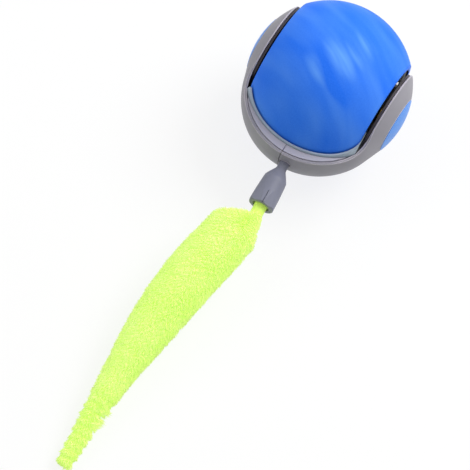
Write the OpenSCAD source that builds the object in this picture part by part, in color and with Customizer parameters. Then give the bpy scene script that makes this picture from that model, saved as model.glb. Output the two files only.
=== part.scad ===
// Self-rolling cat ball. A motor inside the ball turns it about an axle that a U-shaped yoke holds,
// and a plush tail trails from a swivel socket on the yoke's band.
// Millimetres. X runs along the axle, the tail points to -Y, Z is up, and the floor is Z = 0.

/* [Ball] */
// Outside diameter of the rubber sleeve
ball_d = 80; // [78:0.5:90]
// Width between the two flat rims of the sleeve
ball_w = 58; // [57:0.5:60]
// Wall of the rubber sleeve
sleeve_t = 1.6; // [1:0.1:2]
// Wall of the hard core under the sleeve
core_t = 1.8; // [1.4:0.1:2.2]
// Side wall of the core
side_t = 2; // [1.6:0.1:2.4]
// Depth of the core's side face behind the sleeve's rim
face_recess = 0.8; // [0.4:0.1:1]
// Chamfer round the sleeve's rims
rim_chamfer = 0.5; // [0.2:0.1:0.8]

/* [Yoke] */
// Radius of the arm's disc in side view
arm_disc_r = 24; // [22:0.5:25]
// Space between the sleeve's rim and the arm's inner cover
arm_gap = 1.2; // [1:0.1:2]
// Thickness of the arm's inner cover
arm_cover_t = 1.1; // [0.8:0.1:1.4]
// Groove between the arm's inner cover and its outer skin
arm_groove = 0.25; // [0.15:0.05:0.4]
// How far the arms' domes rise over the ball's own sphere
dome_rise = 0; // [0:0.1:1]
// Wall of the outer skin
skin_t = 1.2; // [1:0.1:1.4]
// How far the band's sphere is shifted towards the tail
band_shift = 9.8; // [9:0.1:10.5]
// How much smaller the band's sphere is than the arms' domes
band_drop = 3.2; // [2.8:0.1:3.6]
// Half height of the band's outer skin
band_half = 8; // [7:0.25:9]
// Half height of the band's inner cover
cover_half = 8.3; // [7.5:0.1:9]
// Half height of the band's liner
liner_half = 9.6; // [8.6:0.1:10.5]
// Radius in side view that the liner widens to beside the ball's rims
liner_disc_r = 28; // [24:0.5:32]
// How near the axle the liner's right end comes
liner_end = 19.4; // [16:0.2:24]
// How near the axle the liner's left end comes
liner_end_left = 27.2; // [24:0.2:28]
// Thickness of the liner
liner_t = 0.7; // [0.5:0.1:0.9]
// Space between the ball and the liner
band_gap = 0.7; // [0.5:0.1:1]
// Half length of the inner cover across the band
cover_reach = 27; // [20:0.5:27.5]
// Half length of the liner across the band
liner_reach = 29.8; // [26:0.1:30]
// Radius of the flare from the disc to the band
flare_r = 20; // [14:1:24]
// Place of the band's seam across the band
seam_x = 0.6; // [-2:0.1:0.7]
// Groove between the band's skin and its inner cover
band_groove = 0.3; // [0.15:0.05:0.4]
// Width of the seam
seam_gap = 0.25; // [0.15:0.05:0.4]

/* [Hubs and axle] */
// Diameter of the axle
axle_d = 4; // [3.5:0.1:4.2]
// Depth of the flat on the axle's ends
axle_flat = 0.5; // [0.3:0.1:0.7]
// Radius of the hub caps
cap_r = 13.8; // [11:0.2:14.5]
// How far the hub caps stand over the arms' domes
cap_rise = 0.15; // [0:0.05:0.6]
// Depth of the hub cap's recess under the dome's crown
cap_depth = 3.8; // [3.2:0.1:4.2]
// Thickness of the plate under the hub cap
hub_plate_t = 1.6; // [1.2:0.1:2]
// Radius of the arm's axle boss
boss_r = 6; // [5:0.25:7]
// Outside radius of the axle bushes
bush_r = 4; // [3.5:0.1:4.5]
// Radius of the bush flange
flange_r = 5.2; // [4.8:0.1:5.4]
// Thickness of the bush flange
flange_t = 0.8; // [0.6:0.1:0.9]
// Length of the bush inside the core's face
bush_len = 4.5; // [3.5:0.25:5.5]

/* [Gearbox] */
// Module of the gears
gear_m = 0.6; // [0.56:0.01:0.62]
// Teeth of the large wheels
wheel_teeth = 36;
// Teeth of the pinions
pinion_teeth = 10;
// Pressure angle
gear_pa = 25; // [22:0.5:26]
// Tooth thinning for running slack
tooth_slack = 0.12; // [0.08:0.01:0.2]
// Tooth height over the pitch circle, in modules
tooth_top = 0.8; // [0.7:0.05:0.85]
// Tooth depth under the pitch circle, in modules
tooth_foot = 1.05; // [1:0.05:1.2]
// Face width of the gears
gear_face = 2.8; // [2.2:0.1:3]
// Diameter of the gear pins
pin_d = 2; // [1.6:0.1:2.2]
// Thickness of the gearbox plates
plate_t = 1.6; // [1.4:0.1:2]
// Radius of the gearbox plates
plate_r = 25.2; // [24:0.2:25.4]
// Place of the motor plate's motor side along the axle
plate_x = 3.4; // [3:0.1:3.8]
// Space between neighbouring gears along the axle
gear_step = 0.8; // [0.6:0.1:1]

/* [Motor] */
// Diameter across the motor's round sides
motor_d = 20.4; // [18:0.1:21]
// Thickness across the motor's flats
motor_flat = 15; // [14:0.1:15.6]
// Length of the motor can
motor_len = 24; // [20:0.5:25]
// Wall of the motor can
can_t = 0.7; // [0.5:0.1:0.9]
// Diameter of the motor shaft
shaft_d = 2; // [1.5:0.1:2.2]

/* [Batteries and switch] */
// Diameter of a cell
cell_d = 10.5; // [10:0.1:10.7]
// Room for the door's contact beside the cells
door_room = 4.5; // [4:0.1:6]
// Half distance between the cells
cell_y = 5.8; // [5.6:0.1:6]
// Depth of the cells under the axle
cell_z = 17; // [16.8:0.1:17.4]
// Wall of the battery tray
tray_t = 1; // [0.8:0.1:1.2]
// Travel of the switch lever
switch_travel = 3; // [2:0.25:4]
// Radius from the axle to the switch lever
switch_r = 23.2; // [22:0.2:23.6]
// Angle of the switch about the axle, against the gearbox
switch_angle = 128; // [124:1:134]

/* [Tail] */
// Lean of the socket away from the band's middle
tail_lean = 4.7; // [4.5:0.1:8]
// Radius of the socket's neck
neck_r = 2.5; // [2:0.1:2.6]
// Free length of the neck
neck_len = 3.2; // [2:0.1:5]
// Length of the shoulder
shoulder_len = 5.6; // [4:0.2:8]
// Length of the barrel
barrel_len = 15.3; // [13:0.1:22]
// Half width of the barrel across its flats, at the shoulder
barrel_start = 5.3; // [5:0.1:6]
// Half width of the barrel across its flats, at the open end
barrel_end = 6.1; // [5.8:0.1:7]
// Rounding of the barrel's edges over its flats
barrel_edge = 0.45; // [0.3:0.05:0.6]
// Radius of the socket's bore
socket_bore_r = 4.2; // [3.6:0.1:4.5]
// Depth of the socket's bore
socket_depth = 12.4; // [10:0.2:13]
// Width of the groove along the socket's upper flat
slit_w = 0.3; // [0.2:0.05:0.6]
// Length of that groove from the open end
slit_len = 7; // [3:0.5:9]
// Depth of that groove
slit_deep = 0.4; // [0.2:0.05:0.6]
// Radius of the plug's soft stem
stem_r = 3.1; // [2.6:0.1:3.4]
// Stem showing between socket and plush
stem_len = 6; // [4:0.5:10]
// Length of the plush tail
tail_len = 145; // [110:1:180]
// Sideways bow of the tail
tail_bow = 21.5; // [0:0.5:30]
// Length over which the tail bows
tail_bow_len = 45; // [35:1:70]
// Radius of the cord inside the tail
core_cord_r = 1.4; // [1:0.1:1.8]
// Pitch of the tuft rows
tuft_pitch = 3.6; // [3:0.1:5]
// Height of the tuft rows
tuft_h = 0.5; // [0.2:0.1:1]
// Length of the tail's end that shows tuft rows
tuft_run = 62; // [40:1:100]

/* [Fasteners] */
// Shank radius of the small screws
screw_r = 1; // [0.8:0.05:1.1]
// Head radius of the small screws
screw_head_r = 2; // [1.7:0.05:2.2]
// Head height of the small screws
screw_head_h = 1.4; // [1:0.1:1.6]

/* [Clearances] */
// Between pieces that are fastened together
seat_gap = 0.05; // [0.02:0.01:0.08]
// Radial running clearance of shafts and bushes
run_gap = 0.05; // [0.03:0.01:0.08]
// Between pieces that slide or turn freely
free_gap = 0.3; // [0.25:0.05:0.4]
// Between the sleeve and the core, and between the layers of the band
layer_gap = 0.12; // [0.08:0.01:0.2]

/* [Hidden] */
$fn = 96;
far = 120;
hair = 0.02;

// Ball
ball_r = ball_d / 2;
rim_x = ball_w / 2;
sleeve_in = ball_r - sleeve_t;
core_r = sleeve_in - layer_gap;
core_in = core_r - core_t;
face_x = rim_x - face_recess;
wall_x = face_x - side_t;
rim_r = sqrt(ball_r * ball_r - rim_x * rim_x);
// The ball rests with its heavy side down, turned by whole tooth pitches to stay in mesh
ball_turn = -5 * 360 / wheel_teeth;
spigot_t = 1.3;
spigot_len = 2.5;
bush_wall = 2.2;

// Yoke
arm_lip = 0.5;
cover_x = rim_x + arm_gap;
cover_out_x = cover_x + arm_cover_t;
skin_x = cover_out_x + arm_groove;
dome_r = max(ball_r + dome_rise, norm([skin_x, arm_disc_r + arm_lip]));
band_r = dome_r - band_drop;
band_reach = band_shift + band_r;
boss_x = cover_x - free_gap;
arm_cover_r = arm_disc_r - 0.4;
arm_cut_r = arm_disc_r + arm_lip;
liner_in = ball_r + band_gap;
liner_out = liner_in + liner_t;
cover_in = liner_out + layer_gap;
cover_inset = skin_t + band_groove;
egg_lean = asin(band_drop / band_shift);

// Hubs
axle_r = axle_d / 2;
recess_x = dome_r - cap_depth;
hub_plate_x = recess_x - hub_plate_t;
axle_end = recess_x - seat_gap;
flat_z = axle_r - axle_flat;
axle_screw_r = screw_r * 0.8;
axle_screw_len = 6.5;
washer_x = face_x + flange_t + run_gap;
washer_out = boss_x - run_gap;
washer_r = flange_r - 0.4;
arm_post_r = 2.4;
arm_post_at = 17;
arm_post_top = sqrt(dome_r ^ 2 - (arm_post_at + arm_post_r) ^ 2) - skin_t / 3;
arm_screw_len = 3.4;
arm_head_h = arm_cover_t - 0.1;

// Gearbox, each gear axis one centre distance from the axle and from the next
wheel_r = wheel_teeth * gear_m / 2;
pinion_r = pinion_teeth * gear_m / 2;
centre_d = wheel_r + pinion_r + 0.05;
two_at = [centre_d * cos(150), centre_d * sin(150)];
one_at = [centre_d * cos(90), centre_d * sin(90)];
motor_turn = 30;
motor_at = [centre_d * cos(motor_turn), centre_d * sin(motor_turn)];
plate_in = plate_x + plate_t;
pin_start = plate_x + 0.3;
stage_three = plate_in + gear_step;
stage_two = stage_three + gear_face + gear_step;
stage_one = stage_two + gear_face + gear_step;
far_plate_x = stage_one + gear_face + gear_step;
far_plate_out = far_plate_x + plate_t;
plate_cut = -(cell_z - cell_d / 2 - free_gap - 0.4);
collar_r = pin_d / 2 + 0.9;
gear_boss_t = 1;
end_play = 0.2;
lugs = [[17, -6], [-18, -7], [17, 17.7]];
lug_r = 2.6;
frame_screw_len = far_plate_out - plate_x + 4;

// Motor
can_back = plate_x - motor_len;
end_cap_t = 1.8;
shaft_r = shaft_d / 2;
armature_r = motor_flat / 2 - can_t - 0.6;
motor_screw_at = 6;
magnet_inset = 4;

// Batteries
cell_r = cell_d / 2;
nub_r = 1.9;
nub_h = 0.8;
contact_room = 2.2;
leaf_t = 0.4;
leaf_w = 5;
leaf_foot = 3.4;
leaf_bend = 2.6;
leaf_gap = 0.3;
tray_wall = 1.2;
tray_feet = [-12, 10];
cell_end = wall_x - tray_wall - contact_room;
cell_start = door_room - wall_x;
tray_in = cell_r + 0.15;
tray_out = tray_in + tray_t;
door_r = cell_r + 2.05;
hatch_r = cell_r + 1.35;
door_tab_z = -8.6;
door_tab_r = 2.7;
door_screw_len = 4.5;
door_head_h = 0.9;
post_at = 29;
post_r = 3;
post_angles = [60, 120, 215, 325];
post_top = sqrt(core_r ^ 2 - (post_at + post_r) ^ 2) - 0.5;
post_seat = 9;
post_bite = 7;

// Switch
switch_deep = 5;
switch_w = 3.8;
lever_seat = face_x + 0.2;
lever_w = 1.8;
lever_stem = 1.4;
switch_body_x = max(wall_x - switch_deep, far_plate_out + free_gap);

// Tail, measured along the socket's axis from the ball's centre
socket_flange_r = neck_r + 1.9;
slit_at = 0.3;
plug_inset = 1.6;
flange_edge = socket_flange_r + band_shift * sin(tail_lean);
flange_out = band_shift * cos(tail_lean) + sqrt((band_r - skin_t) ^ 2 - flange_edge ^ 2) - free_gap;
flange_in = flange_out - 1.2;
shoulder_at = band_reach + neck_len;
barrel_at = shoulder_at + shoulder_len;
socket_end = barrel_at + barrel_len;
bore_at = socket_end - socket_depth;
plug_end = socket_end + stem_len;
tail_end = plug_end + tail_len;
plush_start = 0.25;
tail_sides = 18;
tail_step = 1.2;
cord_short = 18;
cord_end = tail_len - cord_short;
cord_sides = 12;
// Distance from the plug and girth of the plush there
girths = [[0, 6.8], [2.5, 13], [6, 19], [10, 23.4], [17, 26.4], [28, 27.2], [42, 26.8], [56, 25.2],
    [70, 22.6], [84, 19], [98, 15.4], [113, 12.2], [128, 9.8], [140, 8.4], [143.5, 6.6], [145, 3.4]];
girth_run = girths[len(girths) - 1][0];
// The yoke droops until the plush rests on the floor
droop = min([for (t = [0 : tail_step : tail_len])
    let(along = (plug_end + t) * cos(tail_lean) - bow_at(t) * sin(tail_lean), r = plush_r(t))
    asin(ball_r / norm([along, r])) - atan2(r, along)]) - 0.02;
echo(droop = droop, socket_end = socket_end, plug_end = plug_end, tail_end = tail_end);

blue = [0.2, 0.46, 0.93];
cap_blue = [0.43, 0.66, 0.97];
grey = [0.56, 0.56, 0.6];
dark = [0.12, 0.12, 0.13];
steel = [0.75, 0.76, 0.78];
brass = [0.78, 0.63, 0.3];
white = [0.93, 0.93, 0.9];
lime = [0.86, 1, 0.47];

// Places

module at_ball() {
    translate([0, 0, ball_r]) rotate([ball_turn, 0, 0]) children();
}

module at_yoke() {
    translate([0, 0, ball_r]) rotate([droop, 0, 0]) children();
}

module at_tail() {
    at_yoke() rotate([0, 0, tail_lean]) children();
}

// A cylinder along the axle's direction, at y and z
module rod(x0, x1, r, at = [0, 0]) {
    translate([x0, at[0], at[1]]) rotate([0, 90, 0]) cylinder(h = x1 - x0, r = r);
}

// An outline drawn in Y and Z, from x0 to x1
module slab(x0, x1) {
    translate([x0, 0, 0]) rotate([90, 0, 90]) linear_extrude(x1 - x0) children();
}

// An outline of radius and distance, turned about the socket's axis
module along_tail() {
    rotate([90, 0, 0]) rotate(90) rotate_extrude() children();
}

// An outline of radius and x, turned about the axle
module about_axle() {
    rotate([0, 90, 0]) rotate_extrude() children();
}

// Everything with x between x0 and x1
module between(x0, x1) {
    translate([x0, -far, -far]) cube([x1 - x0, 2 * far, 2 * far]);
}

module two_sides() {
    for (side = [0, 1]) {
        mirror([side, 0, 0]) children();
    }
}

// Screws run along X, with the head's underside at x and the shank to +X
module pan_screw(x, len, at) {
    rod(x - screw_head_h, x, screw_head_r, at);
    rod(x - hair, x + len, screw_r, at);
}

module flat_screw(x, len, at, head_h) {
    translate([x, at[0], at[1]]) rotate([0, 90, 0])
        cylinder(h = head_h, r1 = screw_head_r, r2 = screw_r);
    rod(x + head_h - hair, x + len, screw_r, at);
}

module flat_screw_hole(x, len, at, head_h) {
    translate([x, at[0], at[1]]) rotate([0, 90, 0])
        cylinder(h = head_h, r1 = screw_head_r + seat_gap, r2 = screw_r + seat_gap);
    rod(x - 1, x + hair, screw_head_r + seat_gap, at);
    rod(x + head_h - hair, x + len + 0.5, screw_r + seat_gap, at);
}

// Yoke

// The yoke's outer form: the arms' sphere, the band's smaller sphere and the cone that joins them
module egg(inset) {
    a = band_r - inset;
    b = dome_r - inset;
    n = [cos(egg_lean), sin(egg_lean)];
    along_tail() intersection() {
        translate([0, -far]) square([far, 2 * far]);
        union() {
            circle(b);
            translate([0, band_shift]) circle(a);
            polygon([[-band_shift, 0], (b - hair) * n, [0, band_shift] + (a - hair) * n,
                [-band_shift, band_shift]]);
        }
    }
}

// Side view of an arm: its disc, the band and the flare between them
module paddle(disc, half) {
    f = [-sqrt((disc + flare_r) ^ 2 - (half + flare_r) ^ 2), half + flare_r];
    circle(disc);
    translate([-far, -half]) square([far, 2 * half]);
    for (side = [0, 1]) {
        mirror([0, side]) difference() {
            polygon([[0, 0], f, [f[0], 0]]);
            translate(f) circle(flare_r + hair);
        }
    }
}

// The space that the turning ball needs
module ball_room(r, x) {
    about_axle() intersection() {
        circle(r);
        translate([0, -x]) square([far, 2 * x]);
    }
}

module yoke_skin() {
    difference() {
        intersection() {
            difference() {
                egg(0);
                egg(skin_t);
            }
            slab(-far, far) paddle(arm_disc_r, band_half);
        }
        ball_room(liner_out + layer_gap, cover_x);
        rod(-skin_x, skin_x, arm_cut_r);
        two_sides() rod(recess_x, far, cap_r + layer_gap);
    }
}

module axle_section(gap) {
    intersection() {
        circle(axle_r + gap);
        translate([-far, -far]) square([2 * far, far + flat_z + gap]);
    }
}

// Plate, boss and screw posts inside the right arm's dome
module arm_hub() {
    rod(hub_plate_x, recess_x, cap_r + 1.5);
    rod(boss_x, hub_plate_x + hair, boss_r);
    for (side = [-1, 1]) {
        rod(cover_out_x + seat_gap, arm_post_top, arm_post_r, [0, side * arm_post_at]);
    }
}

module arm_hub_holes() {
    slab(boss_x - 1, far) axle_section(seat_gap);
    for (side = [-1, 1]) {
        rod(cover_out_x, cover_x + arm_screw_len + 0.4, screw_r + seat_gap, [0, side * arm_post_at]);
    }
}

module yoke_arm_right() {
    color(grey) at_yoke() difference() {
        union() {
            intersection() {
                yoke_skin();
                between(seam_x + seam_gap / 2, far);
            }
            arm_hub();
        }
        arm_hub_holes();
        rotate([0, 0, tail_lean]) along_tail() translate([0, flange_in]) square([neck_r + free_gap, far]);
    }
}

module yoke_arm_left() {
    color(grey) at_yoke() difference() {
        union() {
            intersection() {
                yoke_skin();
                between(-far, seam_x - seam_gap / 2);
            }
            mirror([1, 0, 0]) arm_hub();
        }
        mirror([1, 0, 0]) arm_hub_holes();
    }
}

module arm_cover() {
    at_yoke() difference() {
        rod(cover_x, cover_out_x, arm_cover_r);
        rod(cover_x - 1, cover_out_x + 1, boss_r + layer_gap);
        for (side = [-1, 1]) {
            flat_screw_hole(cover_x, arm_screw_len, [0, side * arm_post_at], arm_head_h);
        }
    }
}

module arm_cover_right() {
    color(grey) arm_cover();
}

module arm_cover_left() {
    color(grey) mirror([1, 0, 0]) arm_cover();
}

module arm_screws() {
    color(steel) at_yoke() two_sides() {
        for (side = [-1, 1]) {
            flat_screw(cover_x, arm_screw_len, [0, side * arm_post_at], arm_head_h);
        }
    }
}

// The inner half bands fill the space between the skin and the liner
module band_cover(x0, x1) {
    at_yoke() difference() {
        intersection() {
            egg(cover_inset);
            between(x0, x1);
            translate([-far, -far, -cover_half]) cube([2 * far, far, 2 * cover_half]);
        }
        sphere(cover_in);
        rotate([0, 0, tail_lean]) along_tail() translate([0, flange_in - free_gap])
            square([socket_flange_r + free_gap, far]);
    }
}

module band_cover_right() {
    color(grey) band_cover(seam_x + seam_gap / 2, cover_reach);
}

module band_cover_left() {
    color(grey) band_cover(-cover_reach, seam_x - seam_gap / 2);
}

module band_liner() {
    color(grey) at_yoke() difference() {
        intersection() {
            about_axle() difference() {
                intersection() {
                    circle(liner_out);
                    translate([0, -liner_reach]) square([far, 2 * liner_reach]);
                }
                circle(liner_in);
            }
            slab(-far, far) intersection() {
                paddle(liner_disc_r, liner_half);
                translate([-far, -far]) square([far - liner_end, 2 * far]);
            }
        }
        translate([-far, -liner_end_left, -far]) cube([far, far, 2 * far]);
    }
}

module hub_cap() {
    at_yoke() about_axle() difference() {
        intersection() {
            circle(dome_r + cap_rise);
            translate([0, recess_x + seat_gap]) square([cap_r, far]);
        }
        translate([0, recess_x]) square([screw_head_r + 1.2, screw_head_h + 0.6]);
    }
}

module hub_cap_right() {
    color(cap_blue) hub_cap();
}

module hub_cap_left() {
    color(cap_blue) mirror([1, 0, 0]) hub_cap();
}

// Axle

module axle() {
    color(steel) at_yoke() difference() {
        rod(-axle_end, axle_end, axle_r);
        two_sides() {
            translate([boss_x - 0.5, -far, flat_z]) cube([far, 2 * far, far]);
            rod(axle_end - axle_screw_len - 1.5, far, axle_screw_r + seat_gap);
        }
    }
}

module axle_screws() {
    color(steel) at_yoke() two_sides() {
        rod(recess_x, recess_x + screw_head_h, screw_head_r + 0.8);
        rod(axle_end - axle_screw_len, recess_x + hair, axle_screw_r);
    }
}

module thrust_washers() {
    color(white) at_ball() two_sides() difference() {
        rod(washer_x, washer_out, washer_r);
        rod(washer_x - 1, washer_out + 1, axle_r + 0.1);
    }
}

// Gears

function involute(rb, r) = let(a = acos(min(1, rb / r))) tan(a) * 180 / PI - a;

// A spur gear's outline with one tooth centred at the angle turn
module gear_outline(teeth, turn) {
    rp = teeth * gear_m / 2;
    rb = rp * cos(gear_pa);
    ra = rp + tooth_top * gear_m;
    rr = rp - tooth_foot * gear_m;
    r0 = max(rb, rr);
    half = 90 / teeth - tooth_slack / 2 / rp * 180 / PI;
    flank = [for (i = [0 : 4]) let(r = r0 + (ra - r0) * i / 4)
        [r, half + involute(rb, rp) - involute(rb, r)]];
    side = concat([[rr, flank[0][1]]], flank);
    last = len(side) - 1;
    polygon([for (k = [0 : teeth - 1]) each
        let(c = turn + k * 360 / teeth)
        concat(
            [for (i = [0 : last]) side[i][0] * [cos(c - side[i][1]), sin(c - side[i][1])]],
            [for (i = [last : -1 : 0]) side[i][0] * [cos(c + side[i][1]), sin(c + side[i][1])]])]);
}

module gear(x0, x1, at, teeth, turn) {
    slab(x0, x1) translate(at) gear_outline(teeth, turn);
}

// Turn of a pinion whose tooth space faces the angle a
function space_at(a) = a - 180 / pinion_teeth;

module final_gear() {
    color(white) at_ball() difference() {
        union() {
            gear(stage_one, stage_one + gear_face, [0, 0], wheel_teeth, 0);
            rod(stage_one + gear_face - hair, far_plate_x - end_play, axle_r + gear_boss_t);
        }
        rod(-far, far, axle_r + hair);
    }
}

module gear_two() {
    color(white) at_ball() difference() {
        union() {
            rod(plate_in + end_play, stage_two + hair, collar_r, two_at);
            gear(stage_two, stage_two + gear_face, two_at, wheel_teeth, 0);
            gear(stage_two + gear_face - hair, stage_one + gear_face, two_at, pinion_teeth, space_at(330));
            rod(stage_one + gear_face - hair, far_plate_x - end_play, collar_r, two_at);
        }
        rod(-far, far, pin_d / 2 + run_gap, two_at);
    }
}

module gear_one() {
    color(white) at_ball() difference() {
        union() {
            rod(plate_in + end_play, stage_three + hair, collar_r, one_at);
            gear(stage_three, stage_three + gear_face, one_at, wheel_teeth, 0);
            gear(stage_three + gear_face - hair, stage_two + gear_face, one_at, pinion_teeth, space_at(210));
            rod(stage_two + gear_face - hair, far_plate_x - end_play, collar_r, one_at);
        }
        rod(-far, far, pin_d / 2 + run_gap, one_at);
    }
}

module gear_pins() {
    color(steel) at_ball() {
        for (at = [one_at, two_at]) {
            rod(pin_start, far_plate_out, pin_d / 2, at);
        }
    }
}

// Gearbox plates

module plate_outline() {
    intersection() {
        circle(plate_r);
        translate([-far, plate_cut]) square([2 * far, far]);
    }
    for (at = lugs) {
        translate(at) circle(lug_r);
    }
}

module lug_holes(x0, x1) {
    for (at = lugs) {
        rod(x0, x1, screw_r + seat_gap, at);
    }
}

module motor_plate() {
    color(dark) at_ball() difference() {
        slab(plate_x, plate_in) plate_outline();
        rod(-far, far, axle_r + 0.6);
        rod(-far, far, 3 + seat_gap, motor_at);
        for (at = [one_at, two_at]) {
            rod(pin_start, far, pin_d / 2 + hair, at);
        }
        lug_holes(plate_x - 1, plate_in + 1);
        for (at = motor_screw_places()) {
            mirror([1, 0, 0]) flat_screw_hole(-plate_in, 3, at, 1);
        }
    }
}

module gear_plate() {
    color(dark) at_ball() difference() {
        slab(far_plate_x, far_plate_out) plate_outline();
        rod(-far, far, axle_r + 0.6);
        for (at = [one_at, two_at]) {
            rod(-far, far, pin_d / 2 + hair, at);
        }
        lug_holes(far_plate_x - 1, far_plate_out + 1);
    }
}

module gearbox_spacers() {
    color(steel) at_ball() for (at = lugs) {
        difference() {
            rod(plate_in, far_plate_x, screw_r + 1, at);
            rod(plate_in - 1, far_plate_x + 1, screw_r + seat_gap, at);
        }
    }
}

module gearbox_screws() {
    color(steel) at_ball() for (at = lugs) {
        pan_screw(plate_x, frame_screw_len, at);
    }
}

// Motor

module motor_outline(inset) {
    translate(motor_at) rotate(motor_turn) intersection() {
        circle(motor_d / 2 - inset);
        square([motor_flat - 2 * inset, motor_d + 2], center = true);
    }
}

function motor_screw_places() = [for (side = [-1, 1])
    motor_at + side * motor_screw_at * [-sin(motor_turn), cos(motor_turn)]];

module motor_can() {
    color(steel) at_ball() difference() {
        union() {
            slab(can_back, plate_x) motor_outline(0);
            rod(plate_x - hair, plate_in - 0.3, 3, motor_at);
        }
        slab(can_back - 1, plate_x - 0.8) motor_outline(can_t);
        rod(-far, far, shaft_r + run_gap, motor_at);
        for (at = motor_screw_places()) {
            rod(plate_x - 3, plate_x + 1, screw_r + seat_gap, at);
        }
    }
}

module motor_end_cap() {
    color(white) at_ball() difference() {
        union() {
            slab(can_back - end_cap_t, can_back) motor_outline(0);
            slab(can_back - hair, can_back + 1.2) motor_outline(can_t + seat_gap);
        }
        rod(-far, far, shaft_r + run_gap, motor_at);
    }
}

module motor_magnets() {
    color(dark) at_ball() slab(can_back + magnet_inset, plate_x - magnet_inset) difference() {
        motor_outline(can_t + seat_gap);
        translate(motor_at) circle(armature_r + 0.5);
        translate(motor_at) rotate(motor_turn) square([motor_flat, motor_d * 0.5], center = true);
    }
}

module motor_screws() {
    color(steel) at_ball() for (at = motor_screw_places()) {
        mirror([1, 0, 0]) flat_screw(-plate_in, 3, at, 1);
    }
}

module motor_rotor() {
    color(brass) at_ball() {
        rod(can_back - end_cap_t - end_play, stage_three + gear_face + end_play, shaft_r, motor_at);
        rod(can_back + end_cap_t, can_back + magnet_inset, shaft_r + 1.4, motor_at);
        difference() {
            rod(can_back + magnet_inset + 1, plate_x - magnet_inset, armature_r, motor_at);
            slab(-far, far) translate(motor_at) for (k = [0 : 2]) {
                rotate(k * 120 + 10) translate([shaft_r + 2, -1.2]) square([far, 2.4]);
            }
        }
    }
}

module motor_pinion() {
    color(brass) at_ball() difference() {
        gear(stage_three, stage_three + gear_face, motor_at, pinion_teeth, space_at(150));
        rod(-far, far, shaft_r + hair, motor_at);
    }
}

// Ball shells

module ball_sleeve() {
    color(blue) at_ball() about_axle() difference() {
        intersection() {
            circle(ball_r);
            translate([0, -rim_x]) square([far, ball_w]);
        }
        circle(sleeve_in);
        for (side = [-1, 1]) {
            translate([rim_r, side * rim_x]) rotate(45) square(rim_chamfer * sqrt(2), center = true);
        }
    }
}

// One half of the core in section: shell, side wall, and the boss round its bush
module core_section() {
    difference() {
        union() {
            difference() {
                intersection() {
                    circle(core_r);
                    square([far, face_x]);
                }
                intersection() {
                    circle(core_in);
                    translate([0, -far]) square([far, far + wall_x]);
                }
            }
            translate([0, face_x - bush_len]) square([bush_r + bush_wall, bush_len - side_t / 2]);
        }
        square([bush_r + hair, far]);
    }
}

function post_place(a) = post_at * [cos(a), sin(a)];

module core_right() {
    color(dark) at_ball() difference() {
        union() {
            about_axle() {
                core_section();
                translate([core_in - spigot_t, -spigot_len]) square([spigot_t - layer_gap, 2 * spigot_len]);
                translate([core_in - spigot_t, 0]) square([spigot_t + core_t / 2, spigot_len]);
            }
            intersection() {
                ball_room(core_r - core_t / 3, wall_x + side_t / 4);
                union() {
                    for (a = post_angles) {
                        rod(0, post_top, post_r, post_place(a));
                    }
                    for (at = lugs) {
                        rod(far_plate_out + seat_gap, far, lug_r, at);
                    }
                }
            }
        }
        for (a = post_angles) {
            rod(-1, post_bite + 1, screw_r + seat_gap, post_place(a));
        }
        for (at = lugs) {
            rod(far_plate_out - 1, plate_x + frame_screw_len + 0.5, screw_r + seat_gap, at);
        }
        slab(wall_x - 0.5, far) switch_slot(free_gap / 2);
    }
}

module core_left() {
    color(dark) at_ball() difference() {
        union() {
            mirror([1, 0, 0]) about_axle() core_section();
            for (a = post_angles) {
                rod(-post_top, -layer_gap, post_r, post_place(a));
            }
            rod(-wall_x - side_t / 4, -wall_x + 4, door_tab_r, [0, door_tab_z]);
        }
        between(-layer_gap, far);
        for (a = post_angles) {
            rod(-far, -post_seat, screw_head_r + 0.25, post_place(a));
            rod(-post_seat - 1, 1, screw_r + 0.1, post_place(a));
        }
        slab(-far, -wall_x + 1) cell_pair(hatch_r);
        slab(-far, -face_x + 1) door_outline(layer_gap);
        rod(-far, -wall_x + 3.2, screw_r + seat_gap, [0, door_tab_z]);
    }
}

module core_screws() {
    color(steel) at_ball() for (a = post_angles) {
        pan_screw(-post_seat, post_seat + post_bite, post_place(a));
    }
}

module axle_bushes() {
    color(brass) at_ball() two_sides() difference() {
        union() {
            rod(face_x - bush_len, face_x + hair, bush_r);
            rod(face_x, face_x + flange_t, flange_r);
        }
        rod(-far, far, axle_r + run_gap);
    }
}

// Batteries

// Outline round both cells
module cell_pair(r) {
    for (side = [-1, 1]) {
        translate([side * cell_y, -cell_z]) circle(r);
    }
    translate([-cell_y, -cell_z - r]) square([2 * cell_y, 2 * r]);
}

module door_outline(gap) {
    cell_pair(door_r + gap);
    translate([0, door_tab_z]) circle(door_tab_r + gap);
    translate([-door_tab_r - gap, -cell_z]) square([2 * (door_tab_r + gap), cell_z + door_tab_z]);
}

module batteries() {
    color(steel) at_ball() for (side = [-1, 1]) {
        mirror([side > 0 ? 1 : 0, 0, 0]) translate([side > 0 ? -cell_start - cell_end : 0, 0, 0]) {
            rod(cell_start, cell_end - nub_h, cell_r, [side * cell_y, -cell_z]);
            rod(cell_end - nub_h - hair, cell_end, nub_r, [side * cell_y, -cell_z]);
        }
    }
}

module battery_tray() {
    color(dark) at_ball() difference() {
        union() {
            intersection() {
                slab(cell_start, wall_x - seat_gap) cell_pair(tray_out);
                translate([-far, -far, -far]) cube([2 * far, 2 * far, far - cell_z]);
            }
            slab(cell_end + contact_room, wall_x - seat_gap) cell_pair(cell_r);
            intersection() {
                ball_room(core_in - layer_gap, wall_x);
                for (x = tray_feet) {
                    translate([x, -cell_y, -far]) cube([tray_t * 2, 2 * cell_y, far - cell_z - cell_r]);
                }
            }
        }
        for (side = [-1, 1]) {
            rod(-far, cell_end + contact_room, tray_in, [side * cell_y, -cell_z]);
        }
        slab(-far, cell_end + contact_room) translate([-cell_y, -cell_z]) square([2 * cell_y, far]);
    }
}

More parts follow.
